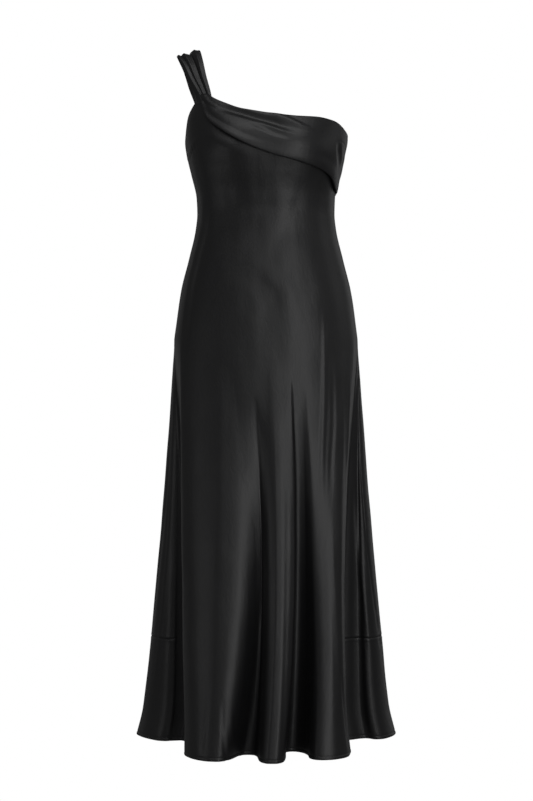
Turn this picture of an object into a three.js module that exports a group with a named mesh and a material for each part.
// One-shoulder dress in black satin, worn and filled out, with nothing inside it.
// Sizes are in millimetres. X runs to the wearer's left, Y to the back and Z up from the hem.
// A place on the cloth is an angle round the body and a height above the hem: 0 degrees is
// the side seam at +X, 90 is the centre front, 180 the other side seam and 270 the centre back.

import * as THREE from 'three';

const WALL = 1.6;
const SEAM_GAP = 0.3;
const LAY_GAP = 0.9;
const JOIN_HEIGHT = 187;
const FOLD_TOP = 740;
const EVEN_TOP = 900;
const YOKE_HEIGHT = 960;
const HEM_ROWS = 6;
const SKIRT_ROWS = 10;
const HIP_ROWS = 4;
const BODICE_ROWS = 8;
const BAND_COLUMNS = 36;
const BAND_ROWS = 8;
const STRAP_COLUMNS = 16;
const STRAP_ROWS = 32;
const SHOULDER = { x: -146, y: 6, z: 1270 };
const SATIN = { color: '#0e0e10', roughness: 0.36, metalness: 0 };

// The body's section at each height: half its width, its depth to the front and to the back,
// and how square its corners are (2 is an ellipse).
const SECTIONS = [
  { z: 0, half: 223.9, front: 186, back: 199, square: 2 },
  { z: 55, half: 211.7, front: 182, back: 192, square: 2 },
  { z: 166, half: 202.6, front: 174, back: 180, square: 2 },
  { z: 277, half: 195.4, front: 164, back: 168, square: 2 },
  { z: 388, half: 188.3, front: 153, back: 157, square: 2.05 },
  { z: 499, half: 182.2, front: 142, back: 146, square: 2.1 },
  { z: 610, half: 177, front: 131, back: 136, square: 2.15 },
  { z: 721, half: 170.8, front: 122, back: 128, square: 2.2 },
  { z: 776, half: 164.4, front: 118, back: 123, square: 2.2 },
  { z: 832, half: 155.7, front: 113, back: 114, square: 2.2 },
  { z: 887, half: 141.9, front: 106, back: 100, square: 2.15 },
  { z: 943, half: 129.3, front: 99, back: 87, square: 2.1 },
  { z: 970, half: 126.7, front: 99, back: 84, square: 2.1 },
  { z: 998, half: 127.9, front: 103, back: 86, square: 2.1 },
  { z: 1044, half: 138, front: 114, back: 91, square: 2.15 },
  { z: 1080, half: 146, front: 119, back: 94, square: 2.2 },
  { z: 1105, half: 149.8, front: 115, back: 94, square: 2.2 },
  { z: 1140, half: 148.7, front: 102, back: 91, square: 2.25 },
  { z: 1178, half: 141.2, front: 85, back: 84, square: 2.25 },
  { z: 1215, half: 140.2, front: 76, back: 76, square: 2.2 },
];

// The skirt's folds. Each line runs from its angle at the hem to its angle at the height where
// it starts, and stands out by its rise at the hem. The columns are the cuts up to the next line.
const FOLDS = [
  { name: 'valley_right_out', hem: 4, top: 3, rise: -82, start: 740, power: 0.9 },
  { name: 'valley_right_in', hem: 16, top: 10, rise: -80, start: 740, power: 0.9 },
  { name: 'lobe_3_edge', hem: 41.5, top: 17, rise: -4, start: 740, power: 0.8, columns: 3 },
  { name: 'lobe_3_outer', hem: 52, top: 36, rise: 19, start: 720, power: 1.15, columns: 2 },
  { name: 'lobe_3_crest', hem: 58, top: 45, rise: 29, start: 700, power: 1.2, columns: 2 },
  { name: 'lobe_3_inner', hem: 64.5, top: 54, rise: 30, start: 690, power: 1.2, columns: 3 },
  { name: 'valley_2_outer', hem: 69.5, top: 63, rise: -68, start: 640, power: 1.2, columns: 2 },
  { name: 'valley_2_inner', hem: 73.5, top: 72, rise: -66, start: 640, power: 1.2, columns: 4 },
  { name: 'lobe_2_right', hem: 84, top: 80, rise: 36, start: 690, power: 1.2, columns: 1 },
  { name: 'lobe_2_crest', hem: 87, top: 85, rise: 43, start: 690, power: 1.2, columns: 1 },
  { name: 'lobe_2_left', hem: 90, top: 90, rise: 41, start: 690, power: 1.2, columns: 4 },
  { name: 'valley_1_inner', hem: 99.5, top: 101, rise: -41, start: 560, power: 1.2, columns: 3 },
  { name: 'valley_1_outer', hem: 107, top: 110, rise: -42, start: 560, power: 1.2, columns: 3 },
  { name: 'lobe_1_inner', hem: 112.5, top: 118, rise: 36, start: 690, power: 1.2, columns: 2 },
  { name: 'lobe_1_crest', hem: 117, top: 130, rise: 39, start: 700, power: 1.2, columns: 2 },
  { name: 'lobe_1_outer', hem: 122, top: 142, rise: 33, start: 720, power: 1.15, columns: 4 },
  { name: 'lobe_1_edge', hem: 137, top: 161, rise: -11, start: 740, power: 1, columns: 6 },
  { name: 'valley_left_in', hem: 155, top: 171, rise: -75, start: 740, power: 0.9 },
  { name: 'valley_left_out', hem: 167, top: 177, rise: -80, start: 740, power: 0.9 },
  { name: 'side_left', hem: 194, top: 187, rise: 28, start: 720, power: 1.1, columns: 4 },
  { name: 'back_valley_4', hem: 211, top: 210, rise: -45, start: 640, power: 1.2, columns: 4 },
  { name: 'back_lobe_3', hem: 229, top: 227, rise: 29, start: 680, power: 1.2, columns: 4 },
  { name: 'back_valley_3', hem: 246, top: 244, rise: -43, start: 620, power: 1.2, columns: 3 },
  { name: 'back_lobe_2', hem: 263, top: 262, rise: 37, start: 660, power: 1.2, columns: 3 },
  { name: 'back_valley_2', hem: 280, top: 281, rise: -42, start: 600, power: 1.2, columns: 4 },
  { name: 'back_lobe_1', hem: 298, top: 300, rise: 32, start: 680, power: 1.2, columns: 4 },
  { name: 'back_valley_1', hem: 318, top: 320, rise: -44, start: 650, power: 1.2, columns: 4 },
  { name: 'side_right', hem: 345, top: 354, rise: 30, start: 720, power: 1.1, columns: 5 },
];
const FIRST_COLUMNS = { front: 6, back: 5 };

// The two side seams keep to the sides down to the hip and then run into the valleys.
const SIDE_SEAMS = [
  { z: 0, right: 10, left: 161 },
  { z: 200, right: 9, left: 164.5 },
  { z: 400, right: 8, left: 168 },
  { z: 600, right: 4.5, left: 173 },
  { z: 770, right: 0, left: 180 },
  { z: 1200, right: 0, left: 180 },
];

// The bust stands out from the sections as two soft swells.
const BUST = { height: 1086, rise: 7, spread: 22, tall: 46, angles: [62, 118] };

// The band's end draws the bodice in a little at the side seam.
const TUCK = { height: 1060, rise: -3.3, spread: 26, tall: 62 };

// The upper edge of the front: neckline, the foot of the strap, then the armhole.
const FRONT_TOP = [
  { angle: 0, z: 1110 },
  { angle: 14.5, z: 1117 },
  { angle: 22, z: 1125 },
  { angle: 30, z: 1131 },
  { angle: 41, z: 1134.5 },
  { angle: 60, z: 1134.5 },
  { angle: 77, z: 1136.5 },
  { angle: 96, z: 1141.5 },
  { angle: 115, z: 1148.5 },
  { angle: 131, z: 1160 },
  { angle: 146.25, z: 1171 },
  { angle: 161.25, z: 1171 },
  { angle: 165.6, z: 1155 },
  { angle: 168.4, z: 1130 },
  { angle: 170.6, z: 1115 },
  { angle: 174.6, z: 1094 },
  { angle: 180, z: 1072 },
];

// The upper edge of the back: armhole, the foot of the strap, then the back neckline.
const BACK_TOP = [
  { angle: 180, z: 1072 },
  { angle: 184.5, z: 1095 },
  { angle: 189, z: 1127 },
  { angle: 193.5, z: 1150 },
  { angle: 198, z: 1160 },
  { angle: 211.5, z: 1160 },
  { angle: 225, z: 1144 },
  { angle: 243, z: 1125 },
  { angle: 265, z: 1111 },
  { angle: 290, z: 1104 },
  { angle: 320, z: 1104 },
  { angle: 345, z: 1108 },
  { angle: 360, z: 1110 },
];

// The draped band, from its gathered end at the strap to the side seam. At each station it
// has a place on its top edge and one on its folded lower edge, and an extra height off the
// bodice.
const BAND = [
  { topAngle: 149.5, topZ: 1184, lowAngle: 156.5, lowZ: 1185, lift: 3 },
  { topAngle: 146.8, topZ: 1179, lowAngle: 153.5, lowZ: 1170, lift: 2.8 },
  { topAngle: 141.5, topZ: 1171.5, lowAngle: 148, lowZ: 1152.5, lift: 1.6 },
  { topAngle: 131.4, topZ: 1161.8, lowAngle: 139.5, lowZ: 1130.5, lift: 0.4 },
  { topAngle: 115.3, topZ: 1150.2, lowAngle: 124, lowZ: 1107, lift: 0 },
  { topAngle: 95.9, topZ: 1143.1, lowAngle: 104, lowZ: 1082.5, lift: 0 },
  { topAngle: 76.9, topZ: 1138.2, lowAngle: 84, lowZ: 1067.5, lift: 0 },
  { topAngle: 59.4, topZ: 1136.3, lowAngle: 64, lowZ: 1056.5, lift: 0 },
  { topAngle: 44.7, topZ: 1136.6, lowAngle: 46, lowZ: 1047, lift: 0 },
  { topAngle: 30, topZ: 1132.5, lowAngle: 31, lowZ: 1035, lift: 0 },
  { topAngle: 14.5, topZ: 1118.3, lowAngle: 15, lowZ: 1013.5, lift: 0 },
  { topAngle: 0, topZ: 1111, lowAngle: 0, lowZ: 1006, lift: 0 },
];

// Folds of the band: where each ridge lies from the top edge (0) to the lower edge (1) at the
// strap end and at the seam end, its height, its width, and the stations it runs between.
const BAND_FOLDS = [
  { atStrap: 0.1, atSeam: 0.02, rise: 2.2, width: 0.16, from: 0.5, to: 7.5 },
  { atStrap: 0.5, atSeam: 0.42, rise: 2.8, width: 0.26, from: 0.2, to: 8.5 },
  { atStrap: 0.96, atSeam: 0.95, rise: 2.4, width: 0.2, from: 0, to: 12 },
];

// The strap's two edges over the shoulder. The first and last rows are worked out from the
// upper edges of the front and the back.
const STRAP = [
  { outer: [-144, -22, 1216], inner: [-113.3, -43, 1222] },
  { outer: [-154.5, -12, 1246], inner: [-119.6, -25, 1254] },
  { outer: [-162.5, -2, 1262], inner: [-124, -8, 1274] },
  { outer: [-166, 8, 1266], inner: [-125.5, 6, 1278] },
  { outer: [-163.5, 20, 1261], inner: [-125.5, 21, 1271.5] },
  { outer: [-154, 32, 1240], inner: [-122.5, 39, 1247] },
  { outer: [-144.5, 38, 1208], inner: [-117, 54, 1213] },
];
const STRAP_FOOT = {
  front: { outer: 161.25, inner: 146.25, upperOuter: 165.5, upperInner: 149, upper: 1186 },
  back: { outer: 198, inner: 211.5, upperOuter: 193.5, upperInner: 209.5, upper: 1177 },
};
const STRAP_PLEATS = { count: 4, footRise: 1, topRise: 1.8, drift: 0.12 };

const radians = THREE.MathUtils.degToRad;
const mix = THREE.MathUtils.lerp;
const ease = THREE.MathUtils.smoothstep;

// Reads a smooth curve that never overshoots its rows.
function curve(places, values, at) {
  const last = places.length - 1;
  if (at <= places[0]) return values[0];
  if (at >= places[last]) return values[last];
  const step = (k) => places[k + 1] - places[k];
  const slope = (k) => (values[k + 1] - values[k]) / step(k);
  const tangent = (k) => {
    if (k === 0) return slope(0);
    if (k === last) return slope(last - 1);
    const before = slope(k - 1);
    const after = slope(k);
    if (before * after <= 0) return 0;
    const weightBefore = 2 * step(k) + step(k - 1);
    const weightAfter = step(k) + 2 * step(k - 1);
    return (weightBefore + weightAfter) / (weightBefore / before + weightAfter / after);
  };
  let k = 0;
  while (at > places[k + 1]) k += 1;
  const u = (at - places[k]) / step(k);
  const v = 1 - u;
  return values[k] * (1 + 2 * u) * v * v + step(k) * tangent(k) * u * v * v
    + values[k + 1] * u * u * (3 - 2 * u) - step(k) * tangent(k + 1) * u * u * v;
}

function readTable(rows, placeName, valueName, at) {
  return curve(rows.map((row) => row[placeName]), rows.map((row) => row[valueName]), at);
}

// The radius of the body's section, without folds.
function bodyRadius(angle, z) {
  const half = readTable(SECTIONS, 'z', 'half', z);
  const square = readTable(SECTIONS, 'z', 'square', z);
  const sine = Math.sin(radians(angle));
  const depth = readTable(SECTIONS, 'z', sine >= 0 ? 'front' : 'back', z);
  const across = Math.abs(Math.cos(radians(angle))) / half;
  const along = Math.abs(sine) / depth;
  return (across ** square + along ** square) ** (-1 / square);
}

const foldDrop = (fold, z) => Math.min(1, Math.max(0, 1 - z / fold.start));
const foldAngle = (fold, z) => mix(fold.top, fold.hem, foldDrop(fold, z));

// How far the folds stand out at this place, read round the whole ring.
function foldRise(angle, z) {
  if (z >= FOLD_TOP) return 0;
  const places = FOLDS.map((fold) => foldAngle(fold, z));
  const rises = FOLDS.map((fold) => fold.rise * foldDrop(fold, z) ** fold.power);
  const ringPlaces = [
    ...places.slice(-2).map((place) => place - 360),
    ...places,
    ...places.slice(0, 2).map((place) => place + 360),
  ];
  const ringRises = [...rises.slice(-2), ...rises, ...rises.slice(0, 2)];
  return curve(ringPlaces, ringRises, THREE.MathUtils.euclideanModulo(angle, 360));
}

// A soft swell round one place on the body.
function swell(shape, centre, angle, z) {
  const turn = THREE.MathUtils.euclideanModulo(angle - centre + 180, 360) - 180;
  return shape.rise * Math.exp(-((turn / shape.spread) ** 2) - ((z - shape.height) / shape.tall) ** 2);
}

function bodiceRise(angle, z) {
  return swell(TUCK, 0, angle, z)
    + BUST.angles.reduce((sum, centre) => sum + swell(BUST, centre, angle, z), 0);
}

// A point in the middle of the cloth.
function clothPoint(angle, z) {
  const radius = bodyRadius(angle, z) + foldRise(angle, z) + bodiceRise(angle, z);
  return new THREE.Vector3(
    radius * Math.cos(radians(angle)),
    -radius * Math.sin(radians(angle)),
    z,
  );
}

// The same point moved out of the cloth by a distance, or in when it is negative.
function movedOut(angle, z, distance) {
  const turn = 0.2;
  const climb = 1;
  const round = clothPoint(angle + turn, z).sub(clothPoint(angle - turn, z));
  const up = clothPoint(angle, z + climb).sub(clothPoint(angle, z - climb));
  return clothPoint(angle, z).addScaledVector(up.cross(round).normalize(), distance);
}

// A closed wall between an outer and an inner grid of points, each a list of rows.
function wallMesh(name, outer, inner) {
  const rows = outer.length;
  const columns = outer[0].length;
  const points = [...outer.flat(), ...inner.flat()];
  const outside = (row, column) => row * columns + column;
  const inside = (row, column) => rows * columns + outside(row, column);
  const faces = [];
  const quad = (a, b, c, d) => faces.push(a, c, b, a, d, c);
  for (let row = 0; row < rows - 1; row += 1) {
    for (let column = 0; column < columns - 1; column += 1) {
      quad(outside(row, column), outside(row, column + 1),
        outside(row + 1, column + 1), outside(row + 1, column));
      quad(inside(row, column), inside(row + 1, column),
        inside(row + 1, column + 1), inside(row, column + 1));
    }
  }
  for (let row = 0; row < rows - 1; row += 1) {
    const end = columns - 1;
    quad(outside(row, 0), outside(row + 1, 0), inside(row + 1, 0), inside(row, 0));
    quad(outside(row, end), inside(row, end), inside(row + 1, end), outside(row + 1, end));
  }
  for (let column = 0; column < columns - 1; column += 1) {
    const end = rows - 1;
    quad(outside(0, column), inside(0, column), inside(0, column + 1), outside(0, column + 1));
    quad(outside(end, column), outside(end, column + 1),
      inside(end, column + 1), inside(end, column));
  }
  const geometry = new THREE.BufferGeometry();
  geometry.setAttribute('position', new THREE.Float32BufferAttribute(
    points.flatMap((point) => point.toArray()), 3));
  geometry.setIndex(faces);
  geometry.computeVertexNormals();
  const mesh = new THREE.Mesh(geometry, new THREE.MeshStandardMaterial(SATIN));
  mesh.name = name;
  return mesh;
}

// The angles of a panel's columns at one height. They follow the folds in the skirt, and
// are evenly spaced in the bodice.
function columnAngles(side, z) {
  const right = readTable(SIDE_SEAMS, 'z', 'right', z);
  const left = readTable(SIDE_SEAMS, 'z', 'left', z);
  const [first, last] = side === 'front' ? [right, left] : [left, right + 360];
  const lines = FOLDS.filter((fold) => fold.columns
    && (side === 'front') === (fold.name.startsWith('lobe') || fold.name.startsWith('valley')));
  const places = [first, ...lines.map((fold) => foldAngle(fold, z)), last];
  const cuts = [FIRST_COLUMNS[side], ...lines.map((fold) => fold.columns)];
  const total = cuts.reduce((sum, cut) => sum + cut, 0);
  const even = ease(z, FOLD_TOP, EVEN_TOP);
  const halfGap = THREE.MathUtils.radToDeg(SEAM_GAP / 2 / bodyRadius(first, z));
  const angles = [];
  cuts.forEach((cut, k) => {
    for (let step = 0; step < cut; step += 1) {
      angles.push(mix(places[k], places[k + 1], step / cut));
    }
  });
  angles.push(last);
  const spaced = angles.map((angle, k) => mix(angle, mix(first, last, k / total), even));
  spaced[0] += halfGap;
  spaced[total] -= halfGap;
  return spaced;
}

function evenRows(from, to, count) {
  return Array.from({ length: count }, (_, k) => mix(from, to, (k + 1) / count));
}

// A panel from level rows up to the yoke, with rows above it that bend to the upper edge.
function panelMesh(name, side, levels, top) {
  const grid = (distance) => {
    const rows = levels.map((z) => (
      columnAngles(side, z).map((angle) => movedOut(angle, z, distance))
    ));
    if (top) {
      evenRows(0, 1, BODICE_ROWS).forEach((share) => {
        rows.push(columnAngles(side, YOKE_HEIGHT).map((angle) => (
          movedOut(angle, mix(YOKE_HEIGHT, readTable(top, 'angle', 'z', angle), share), distance)
        )));
      });
    }
    return rows;
  };
  return wallMesh(name, grid(WALL / 2), grid(-WALL / 2));
}

const hemLevels = evenRows(0, JOIN_HEIGHT, HEM_ROWS);
const bodyLevels = [
  ...evenRows(JOIN_HEIGHT, FOLD_TOP, SKIRT_ROWS),
  ...evenRows(FOLD_TOP, YOKE_HEIGHT, HIP_ROWS),
];

// How far the band's folds stand out, from its top edge (0) to its lower edge (1).
function bandRise(station, across) {
  const last = BAND.length - 1;
  return BAND_FOLDS.reduce((sum, fold) => {
    const middle = mix(fold.atStrap, fold.atSeam, station / last);
    const near = Math.max(0, 1 - ((across - middle) / fold.width) ** 2);
    const run = ease(station, fold.from, fold.from + 1.5) * (1 - ease(station, fold.to - 2, fold.to));
    return sum + fold.rise * run * near * near;
  }, 0);
}

function bandMesh(name) {
  const last = BAND.length - 1;
  const stations = BAND.map((row, k) => ({ ...row, station: k }));
  const read = (valueName, station) => readTable(stations, 'station', valueName, station);
  const grid = (distance) => evenRows(0, 1, BAND_ROWS + 1).map((_, row) => {
    const across = 1 - row / BAND_ROWS;
    return evenRows(0, 1, BAND_COLUMNS + 1).map((__, column) => {
      const station = last * (1 - column / BAND_COLUMNS);
      const angle = mix(read('topAngle', station), read('lowAngle', station), across);
      const z = mix(read('topZ', station), read('lowZ', station), across);
      const gap = THREE.MathUtils.radToDeg(SEAM_GAP / 2 / bodyRadius(angle, z));
      const lift = WALL + LAY_GAP + read('lift', station) + bandRise(station, across);
      return movedOut(angle + (column === 0 ? gap : 0), z, lift + distance);
    });
  });
  return wallMesh(name, grid(WALL / 2), grid(-WALL / 2));
}

// The strap is a sheet between two edge curves, pleated along its length.
function strapMesh(name) {
  const foot = (side, top) => {
    const place = STRAP_FOOT[side];
    const low = (angle) => clothPoint(angle, readTable(top, 'angle', 'z', angle) + SEAM_GAP);
    return {
      low: { outer: low(place.outer), inner: low(place.inner) },
      high: {
        outer: clothPoint(place.upperOuter, place.upper),
        inner: clothPoint(place.upperInner, place.upper),
      },
    };
  };
  const front = foot('front', FRONT_TOP);
  const back = foot('back', BACK_TOP);
  const edge = (side) => new THREE.CatmullRomCurve3([
    front.low[side],
    front.high[side],
    ...STRAP.map((row) => new THREE.Vector3(...row[side])),
    back.high[side],
    back.low[side],
  ], false, 'centripetal');
  const outerEdge = edge('outer');
  const innerEdge = edge('inner');
  const sheetPoint = (along, across) => (
    outerEdge.getPoint(along).lerp(innerEdge.getPoint(along), across)
  );
  const pleat = (along, across) => {
    const top = Math.sin(Math.PI * along);
    const wave = Math.cos(2 * Math.PI * STRAP_PLEATS.count * (across + STRAP_PLEATS.drift * top));
    return -wave * mix(STRAP_PLEATS.footRise, STRAP_PLEATS.topRise, top);
  };
  const step = 0.004;
  const grid = (distance) => evenRows(0, 1, STRAP_ROWS + 1).map((_, row) => {
    const along = row / STRAP_ROWS;
    const before = Math.max(0, along - step);
    const after = Math.min(1, along + step);
    return evenRows(0, 1, STRAP_COLUMNS + 1).map((__, column) => {
      const across = 1 - column / STRAP_COLUMNS;
      const run = sheetPoint(after, across).sub(sheetPoint(before, across));
      const width = sheetPoint(along, 1).sub(sheetPoint(along, 0));
      const normal = width.cross(run).normalize();
      return sheetPoint(along, across).addScaledVector(normal, pleat(along, across) + distance);
    });
  });
  return wallMesh(name, grid(WALL / 2), grid(-WALL / 2));
}

const dress = new THREE.Group();
dress.add(
  panelMesh('front_panel', 'front', [0, ...hemLevels, ...bodyLevels], FRONT_TOP),
  panelMesh('back_panel', 'back', [JOIN_HEIGHT + SEAM_GAP / 2, ...bodyLevels], BACK_TOP),
  panelMesh('back_hem_panel', 'back',
    [0, ...hemLevels.slice(0, -1), JOIN_HEIGHT - SEAM_GAP / 2], null),
  bandMesh('neck_band'),
  strapMesh('shoulder_strap'),
);
dress.position.set(-SHOULDER.x, -SHOULDER.y, -SHOULDER.z);

export default dress;
